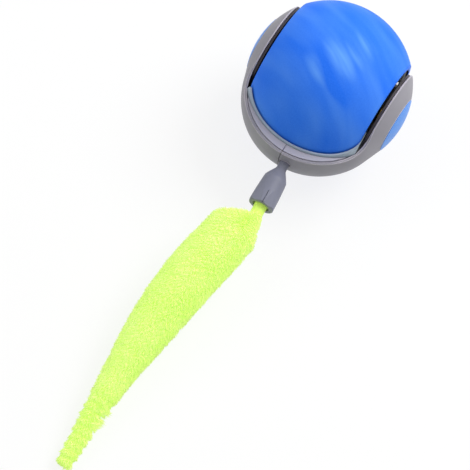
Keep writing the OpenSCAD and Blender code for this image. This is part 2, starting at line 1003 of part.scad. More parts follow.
// A bent strip of contact metal in plan, from points of x and y
module leaf(points, shift) {
    n = len(points);
    translate([0, 0, -cell_z - leaf_w / 2]) linear_extrude(leaf_w) polygon(concat(points,
        [for (i = [n - 1 : -1 : 0]) points[i] + [shift, 0]]));
}

module battery_contacts() {
    back = cell_end + contact_room - leaf_t - seat_gap;
    tip = cell_end + leaf_gap;
    door_back = -wall_x + seat_gap + leaf_t;
    door_tip = cell_start - leaf_gap;
    color(brass) at_ball() {
        for (side = [-1, 1]) {
            leaf([[back, side * cell_y - leaf_foot], [back, side * cell_y - leaf_bend], [tip, side * cell_y],
                [back, side * cell_y + leaf_bend], [back, side * cell_y + leaf_foot]], leaf_t);
        }
        leaf([[door_back, -cell_y - leaf_foot], [door_back, -cell_y - leaf_bend], [door_tip, -cell_y],
            [door_back, -cell_y + leaf_bend], [door_back, cell_y - leaf_bend], [door_tip, cell_y],
            [door_back, cell_y + leaf_bend], [door_back, cell_y + leaf_foot]], -leaf_t);
    }
}

module battery_door() {
    color(dark) at_ball() difference() {
        union() {
            slab(-face_x, -face_x + 1 - seat_gap) door_outline(0);
            slab(-face_x + 1 - seat_gap - hair, -wall_x) cell_pair(hatch_r - layer_gap);
        }
        flat_screw_hole(-face_x, door_screw_len, [0, door_tab_z], door_head_h);
    }
}

module door_screw() {
    color(steel) at_ball() flat_screw(-face_x, door_screw_len, [0, door_tab_z], door_head_h);
}

// Switch

module switch_slot(gap) {
    rotate(switch_angle) translate([switch_r - lever_stem / 2 - gap, -lever_stem / 2 - gap])
        square([lever_stem + 2 * gap, lever_stem + switch_travel + 2 * gap]);
}

module switch_body() {
    color(white) at_ball() difference() {
        slab(switch_body_x, wall_x - seat_gap) rotate(switch_angle)
            translate([switch_r - switch_w / 2, -2]) square([switch_w, switch_travel + 4]);
        slab(switch_body_x + 1.2, far) switch_slot(free_gap / 2);
    }
}

module switch_lever() {
    color(white) at_ball() {
        slab(switch_body_x + 1.5, lever_seat) rotate(switch_angle)
            translate([switch_r, 0]) square(lever_stem, center = true);
        slab(lever_seat - hair, rim_x + arm_gap / 2) rotate(switch_angle)
            translate([switch_r, 0]) square([lever_w, lever_w], center = true);
    }
}

// Tail

module barrel_hex() {
    k = 1 / cos(30);
    rotate([90, 0, 0]) translate([0, 0, bore_at - socket_depth])
        rotate(30) cylinder(h = socket_end - bore_at + socket_depth, r = barrel_end * k, $fn = 6);
}

module tail_socket() {
    k = barrel_edge;
    color(grey) at_tail() difference() {
        union() {
            intersection() {
                along_tail() polygon([[0, shoulder_at], [neck_r, shoulder_at],
                    [neck_r + 0.35, shoulder_at + shoulder_len * 0.15],
                    [neck_r + 1.2, shoulder_at + shoulder_len * 0.4],
                    [barrel_start - 0.6, shoulder_at + shoulder_len * 0.7],
                    [barrel_start + k * 0.6, barrel_at],
                    [barrel_start + k, barrel_at + 1.6],
                    [barrel_end + k, socket_end - 0.7],
                    [barrel_end + k - 0.5, socket_end], [0, socket_end]]);
                barrel_hex();
            }
            along_tail() {
                translate([0, flange_in]) square([socket_flange_r, flange_out - flange_in]);
                translate([0, flange_out - hair]) square([neck_r, shoulder_at - flange_out + 2 * hair]);
            }
        }
        along_tail() translate([0, bore_at]) square([socket_bore_r, far]);
        translate([slit_at - slit_w / 2, -socket_end - hair, barrel_end - slit_deep])
            cube([slit_w, slit_len, far]);
    }
}

module tail_plug() {
    color(lime) at_tail() along_tail() {
        translate([0, bore_at + 0.3]) square([socket_bore_r - run_gap * 2, socket_depth - 1.8]);
        translate([0, socket_end - plug_inset]) square([stem_r, plug_end - socket_end + plug_inset]);
    }
}

// Plush radius at the distance t from the plug, with its tuft rows near the tip
function plush_r(t) = lookup(t * girth_run / tail_len, girths) / 2
    - (t > tail_len - tuft_run ? tuft_h * (0.5 + 0.5 * cos(t * 360 / tuft_pitch)) : 0);
// Sideways place and slope of the tail at the distance t
function bow_at(t) = -tail_bow * (1 - exp(-t * t / ((t + 3) * tail_bow_len)));
function bow_slope(t) = atan(bow_at(t + 0.5) - bow_at(max(0, t - 0.5)));
function ring(t, r, sides) = let(a = bow_slope(t))
    [for (i = [0 : sides - 1]) let(c = r * cos(i * 360 / sides), s = r * sin(i * 360 / sides))
        [bow_at(t) + c * cos(a), -plug_end - t + c * sin(a), s]];

// A skin of triangles over rings of points, closed by a fan at each end
module skin_over(rings) {
    n = len(rings[0]);
    m = len(rings);
    points = [for (r = rings) each r];
    sides = [for (j = [0 : m - 2]) for (i = [0 : n - 1])
        let(a = j * n + i, b = j * n + (i + 1) % n)
        each [[a, a + n, b], [b, a + n, b + n]]];
    ends = [for (i = [1 : n - 2]) each [[0, i, i + 1],
        [(m - 1) * n, (m - 1) * n + i + 1, (m - 1) * n + i]]];
    polyhedron(points, concat(sides, ends));
}

cord_rings = [for (t = [plush_start : 6 : cord_end]) ring(t, core_cord_r, cord_sides)];
plush_stations = concat([plush_start, 1.2, 2.5, 4, 6, 8], [for (t = [10 : 4 : tail_len - tuft_run]) t],
    [for (t = [tail_len - tuft_run + 1 : tail_step : tail_len - 4]) t],
    [tail_len - 2.6, tail_len - 1.4, tail_len - 0.5, tail_len]);

module tail_core() {
    color(white) at_tail() skin_over(cord_rings);
}

module tail_plush() {
    bore = [for (t = concat([for (t = [plush_start : 6 : cord_end]) t], [cord_end + 1]))
        ring(t, core_cord_r + free_gap, tail_sides)];
    outer = [for (i = [len(plush_stations) - 1 : -1 : 0])
        ring(plush_stations[i], plush_r(plush_stations[i]), tail_sides)];
    color(lime) at_tail() skin_over(concat(outer, bore));
}

yoke_arm_left();
yoke_arm_right();
arm_cover_left();
arm_cover_right();
arm_screws();
band_cover_left();
band_cover_right();
band_liner();
hub_cap_left();
hub_cap_right();
axle();
axle_screws();
thrust_washers();
final_gear();
ball_sleeve();
core_left();
core_right();
core_screws();
axle_bushes();
motor_plate();
gear_plate();
gearbox_spacers();
gearbox_screws();
gear_pins();
motor_can();
motor_end_cap();
motor_magnets();
motor_screws();
battery_tray();
batteries();
battery_contacts();
battery_door();
door_screw();
switch_body();
switch_lever();
motor_rotor();
motor_pinion();
gear_one();
gear_two();
tail_socket();
tail_plug();
tail_core();
tail_plush();
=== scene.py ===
"""Self-rolling cat ball: a blue rubber ball in a grey yoke, with a neon plush tail."""
import math
import bmesh
import bpy
from mathutils import Matrix, Vector


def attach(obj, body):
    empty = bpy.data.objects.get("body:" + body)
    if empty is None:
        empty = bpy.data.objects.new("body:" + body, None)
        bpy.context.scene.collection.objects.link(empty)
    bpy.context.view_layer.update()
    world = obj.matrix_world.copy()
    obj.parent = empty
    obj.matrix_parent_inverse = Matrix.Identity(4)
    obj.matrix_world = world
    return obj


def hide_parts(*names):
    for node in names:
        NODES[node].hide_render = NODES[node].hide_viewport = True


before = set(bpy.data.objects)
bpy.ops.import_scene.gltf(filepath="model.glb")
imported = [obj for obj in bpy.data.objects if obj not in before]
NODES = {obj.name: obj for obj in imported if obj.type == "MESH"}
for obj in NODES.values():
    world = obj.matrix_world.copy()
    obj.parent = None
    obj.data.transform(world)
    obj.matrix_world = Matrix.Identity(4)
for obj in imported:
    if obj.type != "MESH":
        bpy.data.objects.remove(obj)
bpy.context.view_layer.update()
scene = bpy.context.scene
MM = 0.001

# Sizes repeated from the part's source; the tail's are in millimetres
BALL_R = 40 * MM
DROOP = math.radians(9.51876)
TAIL_LEAN = math.radians(4.7)
PLUG_END = 76.7
TAIL_BOW = 21.5
TAIL_BOW_LEN = 45.0
TAIL_BOW_EASE = 3.0
MOTOR_AXIS = Vector((0, 13.0147, 35.263)) * MM
YOKE = Matrix.Translation((0, 0, BALL_R)) @ Matrix.Rotation(DROOP, 4, "X")
YOKE_FRONT = YOKE.to_3x3() @ Vector((0, 0, 1))
TAIL = YOKE @ Matrix.Rotation(TAIL_LEAN, 4, "Z")


def srgb(r, g, b):
    """A colour given in 0 to 255 screen values, as linear RGBA."""
    lin = [c / 255 / 12.92 if c <= 10 else ((c / 255 + 0.055) / 1.055) ** 2.4 for c in (r, g, b)]
    return (*lin, 1.0)


# Camera: turns of the yoke against the picture (about Y, X and Z), and the ball's place in it

LOOK_TURN = (-7.17, -17.52, -34.3)
LOOK_SHIFT = Vector((0.0449, 0.0720, 0.0))
LOOK_BACK = 0.900
FOCAL_PX = 1883.3
IMAGE_PX = 470
SENSOR_MM = 36.0
CLIP_NEAR = 0.05
CLIP_FAR = 20.0


def make_camera():
    about_y, about_x, about_z = (math.radians(angle) for angle in LOOK_TURN)
    turn = (Matrix.Rotation(about_z, 4, "Z")
            @ Matrix.Rotation(about_x, 4, "X")
            @ Matrix.Rotation(about_y, 4, "Y"))
    place = Matrix.Translation(Vector((0, 0, LOOK_BACK)) - LOOK_SHIFT)
    data = bpy.data.cameras.new("picture_camera")
    data.sensor_width = SENSOR_MM
    data.lens = SENSOR_MM * FOCAL_PX / IMAGE_PX
    data.clip_start = CLIP_NEAR
    data.clip_end = CLIP_FAR
    cam = bpy.data.objects.new("picture_camera", data)
    scene.collection.objects.link(cam)
    cam.matrix_world = YOKE @ turn.inverted() @ place
    scene.camera = cam


make_camera()


# Node helpers

# Where most of a noise's values lie, a closer span for crisper marks, and its middle
NOISE_SPAN = (0.3, 0.7)
CRISP_SPAN = (0.35, 0.65)
NOISE_MIDDLE = 0.5


def node(tree, kind, feeds=None, **props):
    """A node of that kind, its properties set, its inputs given a value or a link."""
    n = tree.nodes.new(kind)
    for key, value in props.items():
        setattr(n, key, value)
    for key, value in (feeds or {}).items():
        if isinstance(value, bpy.types.NodeSocket):
            tree.links.new(value, n.inputs[key])
        else:
            n.inputs[key].default_value = value
    return n


def math_node(tree, op, a, b=0.0):
    return node(tree, "ShaderNodeMath", {0: a, 1: b}, operation=op).outputs[0]


def dot(tree, a, b):
    return node(tree, "ShaderNodeVectorMath", {0: a, 1: b}, operation="DOT_PRODUCT").outputs["Value"]


def ramp(tree, value, low, high, out_low=0.0, out_high=1.0):
    """A value brought from one range to another, and kept inside it."""
    return node(tree, "ShaderNodeMapRange", {"Value": value, "From Min": low, "From Max": high,
                                             "To Min": out_low, "To Max": out_high}).outputs[0]


def mix_colour(tree, share, a, b):
    return node(tree, "ShaderNodeMix", {0: share, 6: a, 7: b}, data_type="RGBA").outputs[2]


def noise(tree, at, scale, detail):
    return node(tree, "ShaderNodeTexNoise", {"Vector": at, "Scale": scale, "Detail": detail}).outputs[0]


def mapped(tree, at, size, place=(0, 0, 0), turn=(0, 0, 0)):
    """Coordinates counted from a place, along turned axes, in steps of a size."""
    return node(tree, "ShaderNodeMapping",
                {"Vector": at, "Location": place, "Rotation": turn, "Scale": size},
                vector_type="TEXTURE").outputs[0]


def object_coords(tree):
    return node(tree, "ShaderNodeTexCoord").outputs["Object"]


def x_of(tree, vector):
    return node(tree, "ShaderNodeSeparateXYZ", {0: vector}).outputs[0]


# Shared effects

def new_group(name, ins, outs):
    """An empty effect with inputs (name, kind, first value) and outputs (name, kind)."""
    g = bpy.data.node_groups.new(name, "ShaderNodeTree")
    for label, kind, value in ins:
        socket = g.interface.new_socket(label, in_out="INPUT", socket_type="NodeSocket" + kind)
        socket.default_value = value
    for label, kind in outs:
        g.interface.new_socket(label, in_out="OUTPUT", socket_type="NodeSocket" + kind)
    return g, g.nodes.new("NodeGroupInput").outputs, g.nodes.new("NodeGroupOutput").inputs


def wandering(tree, value, middle, spread):
    """A middle value that wanders with a noise value."""
    wander = math_node(tree, "MULTIPLY", math_node(tree, "SUBTRACT", value, NOISE_MIDDLE), spread)
    return math_node(tree, "ADD", wander, middle)


def make_moulded_grain():
    """Faint cloudiness of moulded plastic and the spark-eroded grain of its surface."""
    g, i, o = new_group("moulded_grain",
                        [("Colour", "Color", (0.5, 0.5, 0.5, 1)), ("Shade", "Color", (0.4, 0.4, 0.4, 1)),
                         ("Clouds", "Float", 60.0), ("Grain", "Float", 2200.0),
                         ("Roughness", "Float", 0.4), ("Spread", "Float", 0.1)],
                        [("Colour", "Color"), ("Roughness", "Float"), ("Height", "Float")])
    at = object_coords(g)
    clouds = noise(g, at, i["Clouds"], 4.0)
    g.links.new(mix_colour(g, ramp(g, clouds, *NOISE_SPAN), i["Colour"], i["Shade"]), o["Colour"])
    g.links.new(wandering(g, clouds, i["Roughness"], i["Spread"]), o["Roughness"])
    g.links.new(noise(g, at, i["Grain"], 2.0), o["Height"])
    return g


def make_drawn_lines():
    """Fine lines of drawn or turned metal, longest along the pattern's largest size."""
    g, i, o = new_group("drawn_lines",
                        [("Colour", "Color", (0.6, 0.6, 0.6, 1)), ("Shade", "Color", (0.4, 0.4, 0.4, 1)),
                         ("Size", "Vector", (1.0, 1.0, 1.0)), ("Roughness", "Float", 0.3),
                         ("Spread", "Float", 0.2)],
                        [("Colour", "Color"), ("Roughness", "Float"), ("Height", "Float")])
    lines = noise(g, mapped(g, object_coords(g), i["Size"]), 1.0, 3.0)
    g.links.new(mix_colour(g, ramp(g, lines, *CRISP_SPAN), i["Colour"], i["Shade"]), o["Colour"])
    g.links.new(wandering(g, lines, i["Roughness"], i["Spread"]), o["Roughness"])
    g.links.new(lines, o["Height"])
    return g


MOULDED_GRAIN = make_moulded_grain()
DRAWN_LINES = make_drawn_lines()


# Finishes: depths of grain and radii of edges are in millimetres

GRAIN_STRENGTH = 0.6
EDGE_SAMPLES = 4
# Width of the painted highlight along the yoke's edges, how far its edge has turned where it starts and is
# full, and where the arms start and are full, out along the axle
HIGHLIGHT_REACH = 1.2
HIGHLIGHT_SAMPLES = 8
HIGHLIGHT_TURN = (0.08, 0.5)
ARM_FROM_TO = (20 * MM, 26 * MM)


def new_material(name):
    m = bpy.data.materials.new(name)
    m.use_nodes = True
    return m, m.node_tree, m.node_tree.nodes["Principled BSDF"]


def relief(t, b, height, deep, round_edge):
    """Bump from a height, over a normal that rounds the piece's sharp edges."""
    soft = node(t, "ShaderNodeBevel", {"Radius": round_edge * MM}, samples=EDGE_SAMPLES).outputs[0]
    bump = node(t, "ShaderNodeBump", {"Height": height, "Normal": soft, "Distance": deep * MM,
                                      "Strength": GRAIN_STRENGTH})
    t.links.new(bump.outputs[0], b.inputs["Normal"])


def painted_edge_highlight(t, colour, pale):
    """Painted highlight: lightens a colour where the band turns over to its front and the arms turn in to
    the ball.
    """
    soft = node(t, "ShaderNodeBevel", {"Radius": HIGHLIGHT_REACH * MM}, samples=HIGHLIGHT_SAMPLES).outputs[0]
    plain = node(t, "ShaderNodeNewGeometry").outputs["Normal"]
    turned = node(t, "ShaderNodeVectorMath", {0: soft, 1: plain}, operation="SUBTRACT").outputs["Vector"]
    front = dot(t, turned, YOKE_FRONT)
    on_arm = ramp(t, math_node(t, "ABSOLUTE", x_of(t, object_coords(t))), *ARM_FROM_TO)
    inward = math_node(t, "MULTIPLY", math_node(t, "ABSOLUTE", x_of(t, turned)), on_arm)
    highlight_mask = math_node(t, "MAXIMUM", math_node(t, "ABSOLUTE", front), inward)
    return mix_colour(t, ramp(t, highlight_mask, *HIGHLIGHT_TURN), colour, pale)


def moulded(name, colour, shade, rough, spread=0.12, clouds=55.0, grain=2200.0, deep=0.012,
            round_edge=0.25, specular=0.3, rim=None, glow=0.0):
    """Moulded plastic or rubber, with a painted highlight on its edges or a painted glow where these are
    given.
    """
    m, t, b = new_material(name)
    f = node(t, "ShaderNodeGroup", {"Colour": colour, "Shade": shade, "Clouds": clouds, "Grain": grain,
                                    "Roughness": rough, "Spread": spread}, node_tree=MOULDED_GRAIN).outputs
    tone = painted_edge_highlight(t, f["Colour"], rim) if rim else f["Colour"]
    t.links.new(tone, b.inputs["Base Color"])
    t.links.new(f["Roughness"], b.inputs["Roughness"])
    b.inputs["Specular IOR Level"].default_value = specular
    # Painted glow: the tone is emitted as well, lifting the shading
    if glow:
        t.links.new(tone, b.inputs["Emission Color"])
        b.inputs["Emission Strength"].default_value = glow
    relief(t, b, f["Height"], deep, round_edge)
    return m


def metal(name, colour, shade, rough, size, spread=0.25, deep=0.01, round_edge=0.12):
    """Bare metal with drawn lines of a size in millimetres along X, Y and Z."""
    m, t, b = new_material(name)
    f = node(t, "ShaderNodeGroup", {"Colour": colour, "Shade": shade, "Size": tuple(s * MM for s in size),
                                    "Roughness": rough, "Spread": spread}, node_tree=DRAWN_LINES).outputs
    t.links.new(f["Colour"], b.inputs["Base Color"])
    t.links.new(f["Roughness"], b.inputs["Roughness"])
    b.inputs["Metallic"].default_value = 1.0
    relief(t, b, f["Height"], deep, round_edge)
    return m


# The ball's rubber

SLEEVE_BLUE = srgb(38, 110, 238)
SLEEVE_SPECK = srgb(44, 117, 243)
# Pale blue of the streaks, also used for the painted reflections on the upper side
STREAK_AND_REFLECTION_BLUE = srgb(112, 174, 250)
SPECKLE_SCALE = 1400.0
SLEEVE_SPECULAR = 0.04
SLEEVE_ROUGH = (0.55, 0.42)
# Broad streaks and finer brush marks: size in millimetres, span of the noise and share of pale blue,
# and the place, turn and detail of both
STREAK_SIZE = (30.0, 8.5, 30.0)
STREAK_SPAN = (0.3, 0.75)
STREAK_SHARE = 0.3
BRUSH_SIZE = (20.0, 3.2, 20.0)
BRUSH_SPAN = (0.35, 0.7)
BRUSH_SHARE = 0.05
STREAK_PLACE = (0.263, 0.0861, BALL_R)
STREAK_TURN = math.radians(-27)
STREAK_DETAIL = 1.3
# Painted reflections on the ball's upper side, paler patches and one darker streak: place, run, half
# length and width in mm, strength
PAINTED_REFLECTIONS = (((2.6, -9.6, 78.7), (0.90, -0.41, -0.14), 15, 6.0, 0.75),
          ((7.6, -4.2, 79.0), (0.89, -0.41, -0.22), 11, 2.6, 0.45),
          ((9.0, 3.5, 78.8), (0.85, -0.50, -0.17), 11, 3.0, 0.45),
          ((-4.4, -18.6, 75.1), (0.87, -0.47, -0.17), 12, 4.8, 0.52),
          ((5.8, -20.6, 73.8), (0.87, -0.33, -0.37), 17, 4.2, -0.4))
# How close to its middle a painted reflection is full, and the share of its strength that the brush marks
# leave
REFLECTION_FULL = 0.9
FRAYED = 0.45


def painted_reflection(tree, at, place, run, half_length, half_width):
    """A soft long spot of painted reflection on the ball, 1 in its middle."""
    x = Vector(run).normalized()
    z = (Vector(place) - Vector((0, 0, BALL_R / MM))).normalized()
    y = z.cross(x).normalized()
    turn = Matrix((x, y, x.cross(y))).transposed().to_euler()
    size = Vector((half_length, half_width, half_length)) * MM
    near = mapped(tree, at, size, Vector(place) * MM, turn)
    reflection_spot = node(tree, "ShaderNodeTexGradient", {"Vector": near}, gradient_type="SPHERICAL").outputs[1]
    return node(tree, "ShaderNodeMapRange", {"Value": reflection_spot, "From Min": 0.0, "From Max": REFLECTION_FULL},
                interpolation_type="SMOOTHSTEP").outputs[0]


def streak_noise(tree, at, size):
    """Noise drawn out along the streaks of the ball's rubber."""
    along_streaks = mapped(tree, at, Vector(size) * MM, STREAK_PLACE, (0, 0, STREAK_TURN))
    return noise(tree, along_streaks, 1.0, STREAK_DETAIL)


def sleeve_rubber():
    """Blue rubber with soft paler streaks, painted reflections on its upper side, and a fine matt speckle.
    """
    m, t, b = new_material("sleeve_rubber")
    at = object_coords(t)
    streaks = streak_noise(t, at, STREAK_SIZE)
    brush = streak_noise(t, at, BRUSH_SIZE)
    speckle = noise(t, at, SPECKLE_SCALE, 2.0)
    share = math_node(t, "ADD", ramp(t, streaks, *STREAK_SPAN, 0.0, STREAK_SHARE),
                      ramp(t, brush, *BRUSH_SPAN, 0.0, BRUSH_SHARE))
    # Painted reflections: pale patches and one darker streak laid into the ball's colour
    for place, run, half_length, half_width, strength in PAINTED_REFLECTIONS:
        reflection_spot = painted_reflection(t, at, place, run, half_length, half_width)
        frayed = ramp(t, brush, *CRISP_SPAN, FRAYED * strength, strength)
        share = math_node(t, "ADD", share, math_node(t, "MULTIPLY", reflection_spot, frayed))
    plain = mix_colour(t, ramp(t, speckle, *NOISE_SPAN), SLEEVE_BLUE, SLEEVE_SPECK)
    t.links.new(mix_colour(t, share, plain, STREAK_AND_REFLECTION_BLUE), b.inputs["Base Color"])
    t.links.new(ramp(t, streaks, *NOISE_SPAN, *SLEEVE_ROUGH), b.inputs["Roughness"])
    b.inputs["Specular IOR Level"].default_value = SLEEVE_SPECULAR
    relief(t, b, speckle, deep=0.02, round_edge=0.5)
    return m


# Cells, rotor and cord

# The cells' middle along X, where their bare ends start, and the pale ring's place and half width
CELL_MIDDLE = 0.55 * MM
CELL_BARE = 20.6 * MM
CELL_RING = 15.5 * MM
CELL_RING_HALF = 1.4 * MM
CELL_ROUGH = (0.24, 0.36)
SCUFF_SCALE = 400.0
# Radius in millimetres where the rotor's turns start over its shaft, and a size along the shaft that is
# too long to count
WINDING_FROM = 1.25
WINDING_SCALE = 1100.0
WINDING_ROUGH = (0.42, 0.26)
ALONG_SHAFT = 1e6
BRAID_SCALE = 420.0
BRAID_TURN = (0, 0, math.radians(35))


def cell_jacket():
    """Cells in a dark shrink jacket with a pale ring and bare metal ends."""
    m, t, b = new_material("cell_jacket")
    at = object_coords(t)
    out = math_node(t, "ABSOLUTE", math_node(t, "SUBTRACT", x_of(t, at), CELL_MIDDLE))
    bare = math_node(t, "GREATER_THAN", out, CELL_BARE)
    from_ring = math_node(t, "ABSOLUTE", math_node(t, "SUBTRACT", out, CELL_RING))
    ring = math_node(t, "LESS_THAN", from_ring, CELL_RING_HALF)
    scuff = noise(t, at, SCUFF_SCALE, 3.0)
    jacket = mix_colour(t, ramp(t, scuff, *NOISE_SPAN), srgb(38, 52, 70), srgb(48, 62, 82))
    banded = mix_colour(t, ring, jacket, srgb(196, 200, 204))
    t.links.new(mix_colour(t, bare, banded, srgb(200, 200, 196)), b.inputs["Base Color"])
    t.links.new(bare, b.inputs["Metallic"])
    t.links.new(ramp(t, scuff, *NOISE_SPAN, *CELL_ROUGH), b.inputs["Roughness"])
    relief(t, b, scuff, deep=0.006, round_edge=0.3)
    return m


def wound_rotor():
    """Steel shaft and core with copper turns round the poles."""
    m, t, b = new_material("wound_rotor")
    at = object_coords(t)
    off = mapped(t, at, (ALONG_SHAFT, MM, MM), MOTOR_AXIS)
    radius = node(t, "ShaderNodeVectorMath", {0: off}, operation="LENGTH").outputs["Value"]
    wound = math_node(t, "GREATER_THAN", radius, WINDING_FROM)
    turns = node(t, "ShaderNodeTexWave", {"Vector": at, "Scale": WINDING_SCALE, "Distortion": 1.5,
                                          "Detail": 1.0},
                 wave_type="BANDS", bands_direction="X").outputs["Fac"]
    copper = mix_colour(t, turns, srgb(120, 62, 30), srgb(206, 126, 74))
    t.links.new(mix_colour(t, wound, srgb(188, 190, 194), copper), b.inputs["Base Color"])
    t.links.new(ramp(t, turns, 0.0, 1.0, *WINDING_ROUGH), b.inputs["Roughness"])
    b.inputs["Metallic"].default_value = 1.0
    relief(t, b, turns, deep=0.03, round_edge=0.1)
    return m


def braided_cord():
    """Pale braid of the cord inside the tail."""
    m, t, b = new_material("braided_cord")
    at = node(t, "ShaderNodeMapping", {"Vector": object_coords(t), "Rotation": BRAID_TURN}).outputs[0]
    strands = node(t, "ShaderNodeTexWave", {"Vector": at, "Scale": BRAID_SCALE, "Distortion": 2.0,
                                            "Detail": 2.0}).outputs["Fac"]
    t.links.new(mix_colour(t, strands, srgb(196, 200, 150), srgb(236, 238, 196)), b.inputs["Base Color"])
    b.inputs["Roughness"].default_value = 0.85
    relief(t, b, strands, deep=0.08, round_edge=0.1)
    return m


# Every CAD piece gets its finish

# The yoke's rim colour is a painted highlight along its edges
yoke_plastic = moulded("yoke_plastic", srgb(145, 143, 151), srgb(138, 136, 145), 0.5, round_edge=0.5,
                       rim=srgb(206, 199, 210))
band_plastic = moulded("band_plastic", srgb(180, 178, 193), srgb(172, 170, 185), 0.45, round_edge=0.4)
socket_plastic = moulded("socket_plastic", srgb(124, 126, 141), srgb(117, 119, 134), 0.48, deep=0.008)
# The liner's grey carries a blue tint that is partly its own colour and partly a painted reflection of the
# blue ball
liner_plastic = moulded("liner_plastic", srgb(170, 184, 200), srgb(158, 173, 190), 0.3, deep=0.006)
cap_plastic = moulded("cap_plastic", srgb(86, 150, 236), srgb(78, 143, 229), 0.4, deep=0.008)
# The arm covers are given a dark grey as painted shade, for the deep gap between arms and ball
painted_shade_cover = moulded("painted_shade_cover", srgb(66, 59, 63), srgb(54, 49, 53), 0.5)
core_plastic = moulded("core_plastic", srgb(30, 30, 34), srgb(24, 24, 27), 0.5)
plate_plastic = moulded("plate_plastic", srgb(58, 60, 64), srgb(50, 52, 56), 0.5)
gear_plastic = moulded("gear_plastic", srgb(238, 237, 230), srgb(228, 226, 217), 0.36, round_edge=0.08)
switch_plastic = moulded("switch_plastic", srgb(226, 226, 222), srgb(214, 214, 210), 0.4, round_edge=0.2)
# The plug's glow is a painted glow that lifts its shading
plug_rubber = moulded("plug_rubber", srgb(214, 248, 112), srgb(206, 243, 100), 0.55, clouds=120.0,
                      grain=900.0, deep=0.03, round_edge=0.3, glow=0.14)
ferrite = moulded("ferrite", srgb(60, 60, 64), srgb(46, 46, 50), 0.62, grain=1500.0, deep=0.02)
bright_steel = metal("bright_steel", srgb(196, 198, 203), srgb(170, 172, 178), 0.26, (3, 0.12, 0.12))
can_steel = metal("can_steel", srgb(186, 189, 194), srgb(166, 169, 175), 0.32, (12, 0.2, 0.2))
turned_brass = metal("turned_brass", srgb(214, 178, 98), srgb(188, 150, 74), 0.26, (0.1, 2, 2))
contact_brass = metal("contact_brass", srgb(206, 176, 112), srgb(180, 148, 84), 0.3, (0.4, 0.4, 4))

FINISHES = (
    (sleeve_rubber(), "ball_sleeve"),
    (cap_plastic, "hub_cap_left hub_cap_right"),
    (yoke_plastic, "yoke_arm_left yoke_arm_right"),
    (band_plastic, "band_cover_left band_cover_right"),
    (liner_plastic, "band_liner"),
    (socket_plastic, "tail_socket"),
    (painted_shade_cover, "arm_cover_left arm_cover_right"),
    (core_plastic, "core_left core_right battery_door battery_tray"),
    (plate_plastic, "motor_plate gear_plate"),
    (gear_plastic, "thrust_washers final_gear gear_one gear_two motor_end_cap"),
    (switch_plastic, "switch_body switch_lever"),
    (plug_rubber, "tail_plug"),
    (ferrite, "motor_magnets"),
    (bright_steel, "arm_screws axle axle_screws core_screws gearbox_spacers gearbox_screws gear_pins "
                   "motor_screws door_screw"),
    (can_steel, "motor_can"),
    (turned_brass, "axle_bushes motor_pinion"),
    (contact_brass, "battery_contacts"),
    (cell_jacket(), "batteries"),
    (wound_rotor(), "motor_rotor"),
    (braided_cord(), "tail_core"),
)
for finish, names in FINISHES:
    for n in names.split():
        NODES[n].data.materials.clear()
        NODES[n].data.materials.append(finish)


# Plush tail: distances run from the plug's end along the socket's axis, all in millimetres

# The plush is gathered over the end of the plug, before 0
NECK_LEN = 2.2
# Depth of the plush from front to back
GIRTHS = ((-NECK_LEN, 7.8), (0, 8.2), (2.5, 13), (6, 19), (10, 23.4), (17, 26.4), (28, 27.2), (42, 26.8),
          (56, 25.2), (70, 22.6), (84, 19), (98, 15.4), (113, 12.2), (128, 9.8), (140, 8.4),
          (143.5, 6.6), (145, 3.4))
# How far the pile reaches left and right of the tail's line
LEFT_SIDE = ((-NECK_LEN, 3.9), (0, 4.1), (2, 5.6), (4, 9.2), (6.5, 12.8), (9, 14.2), (16, 14), (34, 13.9),
             (56, 12.7), (70, 11.4), (98, 7.8), (113, 6.3), (128, 5), (144, 3.8), (145, 2.9))
RIGHT_SIDE = ((-NECK_LEN, 3.9), (0, 4.1), (6, 7.4), (10, 10), (13.5, 11.6), (28, 12.9), (42, 13.1),
              (56, 12.6), (70, 11.6), (98, 7.5), (114, 6.1), (130, 5.7), (140, 5.2), (144, 4.2), (145, 3))
# Rings of the backing: close at the neck and shoulder, wide over the body, close at the tuft rows
NECK_STEP = 0.5
SHOULDER_RINGS = [0.4, 0.8, 1.2, 1.7, 2.3, 3.0, 4.0, 5.0, 6.2]
BODY_FROM = 7.5
BODY_STEP = 1.3
BODY_RINGS = 54
ROWS_FROM = 78.0
ROWS_STEP = 0.5
ROWS_RINGS = 133
LAST_RING = 144.5
# Tuft rows: the first row, their pitch, the groove between them, and where they fade in
TUFT_FIRST = 111.2
TUFT_PITCH = 3.95
TUFT_GROOVE = 0.25
TUFT_FADE = 5.0
# Loose strands at the right ends of the rows: their length, and where they start and stop after the first
STRAND_LEN = 3.3
STRANDS_START = (-1.0, 0.6)
STRANDS_STOP = (10.5, 13.0)
# Pile: its depth, at most and as a share of the girth, and the fibres' length over that depth
PILE_DEPTH = 1.8
PILE_SHARE = 0.16
FIBRE_OVER = 1.25
# How far the fibres lie over, and how much more they stand at the rows and in the strands
LIE = 0.85
ROWS_STAND = 0.25
STRANDS_STAND = 0.8
ROWS_BLEND = 20.0
# Fibres between two rows are shorter and sparser, strands longer and calmer, and the tip's right corner
# is drawn out; the sides say where these start and are full, as shares of the reach to the right
GAP_SHORTER = 0.38
GAP_SPARSER = 0.7
STRAND_OVER = 1.15
STRAND_CALM = 0.7
STRAND_SIDE = (0.05, 0.4)
TIP_FROM_TO = (141.5, 143.5)
TIP_EXTRA = 1.2
TIP_SIDE = (0.2, 0.6)
# Fibres per square metre, and where one piece of pile passes into the next
PILE_DENSITY = 4.2e6
TUFT_DENSITY = 5.6e6
PILE_SPLITS = (34.0, 75.0)
SPLIT_BLEND = 2.0
# One fibre: radius over its length, and rise, drift and taper of each step
FIBRE_RADIUS = 0.17
FIBRE_STEPS = ((0.5, 0.06, 0.9), (0.48, 0.2, 0.35))
FIBRE_WIDTH = 1.35 * MM
WIDTH_CHANCE = (0.7, 1.2)
LENGTH_CHANCE = (0.75, 1.25)
CLUMP_SCALE = 230.0
STRAY = 0.3
